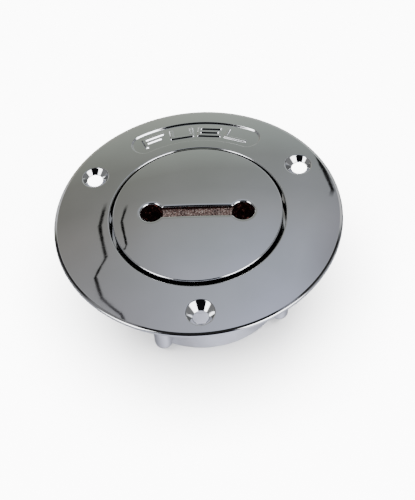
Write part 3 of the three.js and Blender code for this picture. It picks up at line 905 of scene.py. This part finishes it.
def key_boss(skin):
    """The bar under the head that holds the key holes and the swivel stud."""
    rows = []
    for offset, height, side in ((0, HEAD_UNDERSIDE + 1.0, (1, 0)), (0, BOSS_UNDERSIDE + 0.7, (1, 0)),
                                 (-0.2, BOSS_UNDERSIDE + 0.2, (1, -1)), (-0.7, BOSS_UNDERSIDE, (0, -1))):
        outline = dumbbell(BOSS_RADIUS, BOSS_HALF_WIDTH, KEY_HALF_SPACING, offset)
        rows.append(skin.add(*raised(outline, height, side)))
    skin.bands(rows, ROUGH)
    profile = [(STUD_HOLE_RADIUS + 0.6, BOSS_UNDERSIDE, 0), (STUD_HOLE_RADIUS, BOSS_UNDERSIDE, 0.2),
               (STUD_HOLE_RADIUS, 33.5, 0)]
    points, normals = filleted(profile, 3)
    hole = turned(skin, points, -normals, ROUGH, 28)
    skin.cover(rows[-1], [hole[0]], level_surface(BOSS_UNDERSIDE, -1), 1.6, ROUGH)
    skin.face(hole[-1], ROUGH)


def fill_cap():
    skin = Skin()
    side = [(GROOVE_EDGE, 30.6, 0), (GROOVE_EDGE, HEAD_UNDERSIDE, 0.15), (CAP_RADIUS, HEAD_UNDERSIDE, 0.4),
            (CAP_RADIUS, dome_height(CAP_RADIUS), CAP_EDGE_ROUND),
            (CAP_EDGE - 0.6, dome_height(CAP_EDGE - 0.6), 0)]
    head = turned(skin, *filleted(side, 8))
    slot = key_slot(skin)
    skin.cover(head[-1], [slot], dome, 1.3)
    skirt = [(SKIRT_INNER_RADIUS - 0.5, HOLLOW_TOP, 0), (SKIRT_INNER_RADIUS, HOLLOW_TOP, 0.3),
             (SKIRT_INNER_RADIUS, SKIRT_END, 0.3), (SKIRT_RADIUS, SKIRT_END, 0.5),
             (SKIRT_RADIUS, SKIRT_END + 0.7, 0)]
    cup = turned(skin, *filleted(skirt), ROUGH)
    skin.cover(cup[0], [], level_surface(HOLLOW_TOP, -1), 0.8, ROUGH, in_bar_round_hole)
    neck = [(SKIRT_RADIUS, 30.0, 0), (SKIRT_RADIUS, 30.3, 0.1), (GROOVE_EDGE, 30.3, 0.15),
            (GROOVE_EDGE, 30.6, 0)]
    groove = turned(skin, *filleted(neck, 3))
    threaded(skin, cup[-1], groove[0], SKIRT_THREAD)
    skin.band(groove[-1], head[0])
    key_boss(skin)
    skin.turn(KEY_TURN)
    return skin.build("cap_casting", chrome, rough_chrome, key_seat, tarnish_and_painted_shade)


def in_bar_round_hole(places):
    """Which places in plan are in the metal round a key hole, or in the hole."""
    away = np.hypot(np.abs(places[:, 0]) - KEY_HALF_SPACING, places[:, 1])
    return away < (KEY_HOLE_RADIUS + BOSS_RADIUS) / 2


# ---------------------------------------------------------------- seal, swivel and chain

def headed_stud():
    """The stud that the swivel turns on. Its head is below, and its shank is riveted into the cap's bar."""
    low, high = 25.9, 33.2
    profile = [(0.3, low, 0), (2.6, low, 0.2), (3.2, 26.5, 0.2), (3.2, 27.2, 0.12), (1.5, 27.2, 0.1),
               (1.5, high - 0.2, 0.2), (0.3, high, 0)]
    skin = Skin()
    rows = turned(skin, *filleted(profile), PLAIN, 48)
    skin.fan(rows[0], [0, 0, low], -UP)
    skin.fan(rows[-1], [0, 0, high], UP)
    return skin.build("headed_stud", stud_brass)


def o_ring():
    skin = Skin()
    _, around = circle(1.0, 28)
    rows = turned(skin, around * (1.3, 1.15) + (24.6, 30.05), around)
    skin.band(rows[-1], rows[0])
    return skin.build("seal_ring", nitrile_rubber)


def wire_loop(skin, radius, wire, centre, axis):
    """A closed ring of round wire about an axis."""
    rows = turned(skin, *circle(wire, 16, (radius, 0)), PLAIN, 56, centre, axis)
    skin.band(rows[-1], rows[0])


def wire_ring():
    """The split ring in the lug's hole."""
    skin = Skin()
    wire_loop(skin, 2.7, 0.6, (-14.9, 0, 15.6), (0, 1, 0))
    return skin.build("wire_ring", wire_steel)


BEAD_RADIUS = 1.8
BEAD_COUNT = 13
CAP_BELL = (4.5, 0, 17.35)
NECK_BELL = (-14.9, 0, 9.05)
BEAD_FLOOR = BEAD_RADIUS + 0.15
CHAIN_ROUTE = [
    NECK_BELL,
    (-14.9, -0.5, 5.6),
    (-14.0, -3.6, 2.6),
    (-11.6, -7.4, BEAD_FLOOR),
    (-6.8, -11.8, BEAD_FLOOR),
    (0.2, -13.6, BEAD_FLOOR),
    (7.2, -11.6, BEAD_FLOOR),
    (12.0, -6.4, BEAD_FLOOR),
    (13.4, 0.4, BEAD_FLOOR),
    (10.8, 5.6, BEAD_FLOOR),
    (6.6, 4.6, 2.4),
    (4.6, 1.2, 5.4),
    (4.5, 0, 9.6),
    CAP_BELL,
]


def centripetal(route, per_span=60):
    """Points on the centripetal Catmull-Rom curve through a route."""
    p = [Vector(point) for point in route]
    p = [2 * p[0] - p[1], *p, 2 * p[-1] - p[-2]]
    curve = []
    for a, b, c, d in zip(p, p[1:], p[2:], p[3:]):
        t1 = (b - a).length ** 0.5
        t2 = t1 + (c - b).length ** 0.5
        t3 = t2 + (d - c).length ** 0.5
        for k in range(per_span):
            t = t1 + (t2 - t1) * k / per_span
            ab = a * ((t1 - t) / t1) + b * (t / t1)
            bc = b * ((t2 - t) / (t2 - t1)) + c * ((t - t1) / (t2 - t1))
            cd = c * ((t3 - t) / (t3 - t2)) + d * ((t - t2) / (t3 - t2))
            abc = ab * ((t2 - t) / t2) + bc * (t / t2)
            bcd = bc * ((t3 - t) / (t3 - t1)) + cd * ((t - t1) / (t3 - t1))
            curve.append(abc * ((t2 - t) / (t2 - t1)) + bcd * ((t - t1) / (t2 - t1)))
    return np.array([*curve, p[-2]])


def spaced(curve, count):
    lengths = np.concatenate([[0], np.cumsum(np.linalg.norm(np.diff(curve, axis=0), axis=1))])
    marks = np.linspace(0, lengths[-1], count)
    return np.column_stack([np.interp(marks, lengths, curve[:, k]) for k in range(3)])


def bead_profile():
    """A hollow bead with turned-in mouths, and the wire link that leaves it."""
    mouth = math.asin(0.62 / BEAD_RADIUS)
    points, normals = [], []
    for k in range(17):
        angle = mouth + (math.pi - 2 * mouth) * k / 16
        side = np.array([math.sin(angle), -math.cos(angle)])
        points.append(side * BEAD_RADIUS)
        normals.append(side)
    points += [np.array([0.46, BEAD_RADIUS - 0.16]), np.array([0.45, BEAD_RADIUS + 0.62]),
               np.array([0.28, BEAD_RADIUS + 0.7])]
    normals += [np.array([0.6, 0.8]), np.array([1.0, 0.2]), np.array([0.2, 1.0])]
    points.insert(0, np.array([0.42, -BEAD_RADIUS + 0.2]))
    normals.insert(0, np.array([0.3, -1.0]))
    return points, normals


def chain_bead(number, place, towards):
    skin = Skin()
    rows = turned(skin, *bead_profile(), PLAIN, 28, place, towards - place)
    skin.face(rows[0])
    skin.face(rows[-1])
    return skin.build(f"bead_{number:02d}", wire_steel)


def chain_bell(name, centre, loop_axis):
    """The bell that closes over the end bead, with its loop."""
    skin = Skin()
    profile = [(0.7, -2.05, 0), (1.5, -2.0, 0.4), (2.2, -1.0, 1.0), (2.2, 0.6, 1.0), (1.3, 2.0, 0.5),
               (0.6, 2.05, 0)]
    rows = turned(skin, *filleted(profile), PLAIN, 28, centre)
    skin.face(rows[0])
    skin.face(rows[-1])
    wire_loop(skin, 1.7, 0.5, centre + 3.6 * UP, loop_axis)
    return skin.build(name, wire_steel)


def swivel_strip():
    """A bent strip: one end turns on the stud, and the other hangs down and carries the chain."""
    skin = Skin()
    half_width, low, high = 2.4, 20.5, 28.5
    near, far, bevel, bore = 4.0, 5.0, 0.12, 1.3
    upright = [(-half_width, low), (half_width, low), (half_width, high), (-half_width, high)]
    levels = [(-0.15, near, (0, -1)), (0, near + bevel, (1, -0.5)), (0, far - bevel, (1, 0.5)),
              (-0.15, far, (0, 1))]
    hole = [(bore - offset, height) for offset, height, _ in levels[::-1]]
    hole_sides = [(-side[0], side[1]) for _, _, side in levels[::-1]]
    bored_slab(skin, upright, 0.9, 6, levels, (hole, hole_sides), 32, (0, 22.9, 0), 1.0)
    skin.tip_over()
    wide, shoulder, end, nearly_round = 3.4, 0.6, 5.0, 3.38
    flat = [(-wide, -wide, nearly_round), (shoulder, -wide, 0.5), (end, -half_width, 0.3),
            (end, half_width, 0.3), (shoulder, wide, 0.5), (-wide, wide, nearly_round)]
    low, high, bore = 27.55, 28.6, 1.9
    levels = [(-bevel, low, (0, -1)), (0, low + bevel, (1, -0.4)), (0, high - bevel, (1, 0.4)),
              (-bevel, high, (0, 1))]
    hole = filleted([(bore + 0.4, high, 0), (bore, high, bevel), (bore, low, bevel), (bore + 0.4, low, 0)], 3)
    bored_slab(skin, flat, 0, 3, levels, hole, 36, (0, 0, 0), 1.0)
    return skin.build("swivel_strip", wire_steel)


# ---------------------------------------------------------------- assembly

def settle(piece, body, slot, *nodes):
    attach(piece, body)
    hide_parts(*nodes)


chrome = polished_chrome()
rough_chrome = cast_chrome()
key_seat = bare_key_seat()
# Near-black painted shade for the slot's walls and the key holes, with reddish tarnish specks.
tarnish_and_painted_shade = dark_bore()
nitrile_rubber = nitrile()
wire_steel = stainless()
stud_brass = turned_brass()

settle(deck_plate(), "root", "chrome_plate", "deck_plate")
settle(fill_cap(), "cap", "chrome_plate", "fill_cap")
settle(o_ring(), "cap", "nitrile", "cap_o_ring")
settle(headed_stud(), "cap", "brass", "swivel_stud")
settle(swivel_strip(), "swivel", "stainless", "swivel_eye")
settle(chain_bell("bell_at_cap", CAP_BELL, (0, 1, 0)), "swivel", "stainless", "chain_bell_cap")
settle(chain_bell("bell_at_neck", NECK_BELL, (1, 0, 0)), "root", "stainless", "chain_bell_neck")
settle(wire_ring(), "root", "stainless", "anchor_ring")
places = spaced(centripetal(CHAIN_ROUTE), BEAD_COUNT + 2)
for number in range(1, BEAD_COUNT + 1):
    node = f"chain_bead_{number:02d}"
    bead = chain_bead(number, places[number], places[number + 1])
    settle(bead, frame["nodes"][node]["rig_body"], "stainless", node)


# ---------------------------------------------------------------- floor, light and camera

def floor():
    bpy.ops.mesh.primitive_plane_add(size=6.0)
    sheet = bpy.context.object
    sheet.name = "floor"
    paper = Finish("floor_paper")
    paper.shader.inputs["Base Color"].default_value = (0.93, 0.93, 0.93, 1)
    paper.shader.inputs["Roughness"].default_value = 0.9
    paper.shader.inputs["Specular IOR Level"].default_value = 0.1
    sheet.data.materials.append(paper.material)
    sheet.visible_glossy = False
    sheet.visible_diffuse = False
    return sheet


STAND_HALF_WIDTH = 0.32  # degrees
LAMP_TARGET = 0.03  # metres up the object


def lamp(name, azimuth, elevation, distance, size, power):
    """A square soft box that faces the object. Azimuth 0 is behind the object and 90 its right (+X)."""
    data = bpy.data.lights.new(name, "AREA")
    data.shape = "RECTANGLE"
    data.size, data.size_y = size, size
    data.energy = power
    obj = bpy.data.objects.new(name, data)
    obj.visible_glossy = False
    bpy.context.scene.collection.objects.link(obj)
    a, e = math.radians(azimuth), math.radians(elevation)
    obj.location = Vector((math.sin(a) * math.cos(e), math.cos(a) * math.cos(e), math.sin(e))) * distance
    towards = Vector((0, 0, LAMP_TARGET)) - obj.location
    obj.rotation_euler = towards.to_track_quat("-Z", "Y").to_euler()
    return obj


class Sky:
    """Colours a dome by direction, in degrees: azimuth 0 is behind the object (+Y), 90 its right (+X)."""

    def __init__(self, tree):
        self.tree = tree
        place = linked(tree, "ShaderNodeTexCoord").outputs["Object"]
        way = linked(tree, "ShaderNodeVectorMath", {0: place}, operation="NORMALIZE").outputs["Vector"]
        parts = linked(tree, "ShaderNodeSeparateXYZ", {"Vector": way})
        around = self.math("ARCTAN2", parts.outputs["X"], parts.outputs["Y"])
        self.azimuth = self.math("MULTIPLY", around, math.degrees(1))
        self.elevation = self.math("MULTIPLY", self.math("ARCSINE", parts.outputs["Z"]), math.degrees(1))
        self.colour = None

    def math(self, operation, a, b=None):
        values = {0: a} if b is None else {0: a, 1: b}
        return linked(self.tree, "ShaderNodeMath", values, operation=operation).outputs[0]

    def rise(self, value, middle, soft):
        """0 below a middle value and 1 above it."""
        return remap(self.tree, value, middle - soft, middle + soft, 0.0, 1.0)

    def fall(self, value, middle, soft):
        return self.math("SUBTRACT", 1.0, self.rise(value, middle, soft))

    def between(self, value, low, high, soft):
        return self.math("MULTIPLY", self.rise(value, low, soft), self.fall(value, high, soft))

    def shades(self, value, stops):
        """A ramp over a direction's azimuth or elevation, from stops of (degrees, colour)."""
        low, high = stops[0][0], stops[-1][0]
        share = remap(self.tree, value, low, high, 0.0, 1.0)
        return ramp(self.tree, share, [((degrees - low) / (high - low), colour) for degrees, colour in stops])

    def gradient(self, stops):
        """The dome's own colour by elevation."""
        self.colour = self.shades(self.elevation, stops)

    def wash(self, stops):
        """Tints everything laid so far by azimuth."""
        self.colour = multiplied(self.tree, self.colour, self.shades(self.azimuth, stops))

    def lay(self, colour, mask):
        """Puts a colour socket over what is there wherever the mask is 1."""
        inputs = {"Factor": mask, 6: self.colour, 7: colour}
        mix = linked(self.tree, "ShaderNodeMix", inputs, data_type="RGBA")
        self.colour = mix.outputs[2]

    def patch(self, colour, azimuths, elevations, soft=1.0, mirrored=False):
        """A panel over a range of azimuths and elevations, at both sides if mirrored."""
        across = self.math("ABSOLUTE", self.azimuth) if mirrored else self.azimuth
        mask = self.math("MULTIPLY", self.between(across, *azimuths, soft),
                         self.between(self.elevation, *elevations, soft))
        self.lay((*colour, 1), mask)

    def below(self, level, stops):
        """The slightly blue light from under a level, from stops of (azimuth, brightness) all round."""
        colour = self.shades(self.azimuth, [(degrees, (b, 1.03 * b, 1.2 * b)) for degrees, b in stops])
        self.lay(colour, self.fall(self.elevation, level, 2))

    def stand(self, foot, bends, elevations, shade=0.003):
        """A thin dark upright at an azimuth. A bend is (from elevation, to elevation, degrees sideways)."""
        place = foot
        for low, high, sideways in bends:
            shift = remap(self.tree, self.elevation, low, high, 0.0, sideways)
            place = self.math("ADD", shift, place)
        away = self.math("ABSOLUTE", self.math("SUBTRACT", self.azimuth, place))
        near = self.fall(away, STAND_HALF_WIDTH, 0.12)
        mask = self.math("MULTIPLY", near, self.between(self.elevation, *elevations, 0.6))
        self.lay((shade, shade, shade, 1), mask)


def studio_dome():
    """What the bright metal mirrors: a grey panel behind, soft boxes at the sides and a dark camera side."""
    bpy.ops.mesh.primitive_uv_sphere_add(segments=64, ring_count=32, radius=3.0)
    dome = bpy.context.object
    dome.name = "studio_dome"
    material = bpy.data.materials.new("studio_dome_light")
    material.use_nodes = True
    tree = material.node_tree
    tree.nodes.remove(next(node for node in tree.nodes if node.type == "BSDF_PRINCIPLED"))
    output = next(node for node in tree.nodes if node.type == "OUTPUT_MATERIAL")
    sky = Sky(tree)
    sky.gradient([(30, (0.9, 0.93, 0.92)), (35, (0.7, 0.75, 0.73)), (38, (0.56, 0.61, 0.6)),
                  (42, (0.42, 0.44, 0.445)), (46, (0.45, 0.465, 0.49)), (50, (0.55, 0.565, 0.61)),
                  (58, (0.67, 0.71, 0.84)), (67, (0.86, 0.9, 1.15)), (80, (0.86, 0.9, 1.15))])
    sky.wash([(-24, (0.69, 0.65, 0.575)), (-12, (0.82, 0.8, 0.73)), (0, (0.9, 0.9, 0.84)), (12, (1, 1, 1))])
    sky.patch((0.42, 0.41, 0.47), (19, 32), (34, 60), 4)
    sky.patch((0.03, 0.03, 0.032), (-180, 180), (70, 91), 2.5)
    sky.patch((0.95, 0.95, 0.98), (30, 41), (20, 66), 2, mirrored=True)
    sky.patch((0.03, 0.03, 0.03), (43, 62), (12, 91), 2, mirrored=True)
    sky.patch((0.3, 0.3, 0.31), (62, 104), (8, 70), 3, mirrored=True)
    sky.patch((0.45, 0.46, 0.5), (100, 160), (4, 18), 4, mirrored=True)
    sky.patch((9.0, 9.0, 9.3), (108, 160), (18, 62), 3, mirrored=True)
    sky.patch((0.008, 0.008, 0.01), (153, 182), (4, 91), 2)
    sky.patch((0.008, 0.008, 0.01), (-182, -136), (4, 91), 2)
    sky.stand(-17, [(46, 49, -2.5), (49, 53.5, -1.5), (53.5, 55.5, -3.5), (55.5, 58.5, -1),
                    (58.5, 61.5, 1.5)], (46.5, 70))
    sky.stand(11.5, [(39.5, 46, 5)], (38, 46.5), 0.01)
    sky.below(7, [(-180, 1.35), (-140, 1.0), (-90, 0.5), (-45, 0.3), (0, 0.5), (45, 0.35), (100, 0.8),
                  (140, 1.6), (180, 1.35)])
    glow = linked(tree, "ShaderNodeEmission", {"Color": sky.colour, "Strength": 1.0})
    tree.links.new(glow.outputs["Emission"], output.inputs["Surface"])
    dome.data.materials.append(material)
    dome.visible_camera = False
    dome.visible_diffuse = False
    dome.visible_shadow = False


def floor_light(sheet):
    """A big soft box overhead that lights the floor alone, so the floor comes out nearly white."""
    box = lamp("softbox_floor", 0, 90, 2.0, 2.4, 600.0)
    lit = bpy.data.collections.new("floor_only")
    lit.objects.link(sheet)
    box.light_linking.receiver_collection = lit


def studio():
    world = bpy.data.worlds.new("studio")
    bpy.context.scene.world = world
    world.use_nodes = True
    background = world.node_tree.nodes["Background"]
    background.inputs["Color"].default_value = (1.0, 1.0, 1.0, 1)
    background.inputs["Strength"].default_value = 1.0
    studio_dome()
    lamp("softbox_left", -128, 45, 1.2, 0.8, 9.0)
    lamp("softbox_right", 128, 45, 1.2, 0.8, 9.0)


def camera():
    """The view: 51 degrees above the horizon, turned a little to the left, with the picture rolled."""
    elevation, azimuth, roll = math.radians(51.39), math.radians(-3.59), math.radians(6.37)
    focal, distance, shift_x, shift_y, reference = 123.9, 528.5, 1.83, -10.0, 33.0
    look = Matrix.Rotation(-azimuth, 4, "Z") @ Matrix.Rotation(math.pi / 2 - elevation, 4, "X")
    place = look @ Vector((shift_x, shift_y, distance)) + Vector((0, 0, reference))
    data = bpy.data.cameras.new("camera")
    data.lens = focal
    data.sensor_width = 36
    data.clip_start = 0.01
    obj = bpy.data.objects.new("camera", data)
    bpy.context.scene.collection.objects.link(obj)
    obj.matrix_world = Matrix.Translation(place * MM) @ look @ Matrix.Rotation(-roll, 4, "Z")
    bpy.context.scene.camera = obj


floor_light(floor())
studio()
camera()
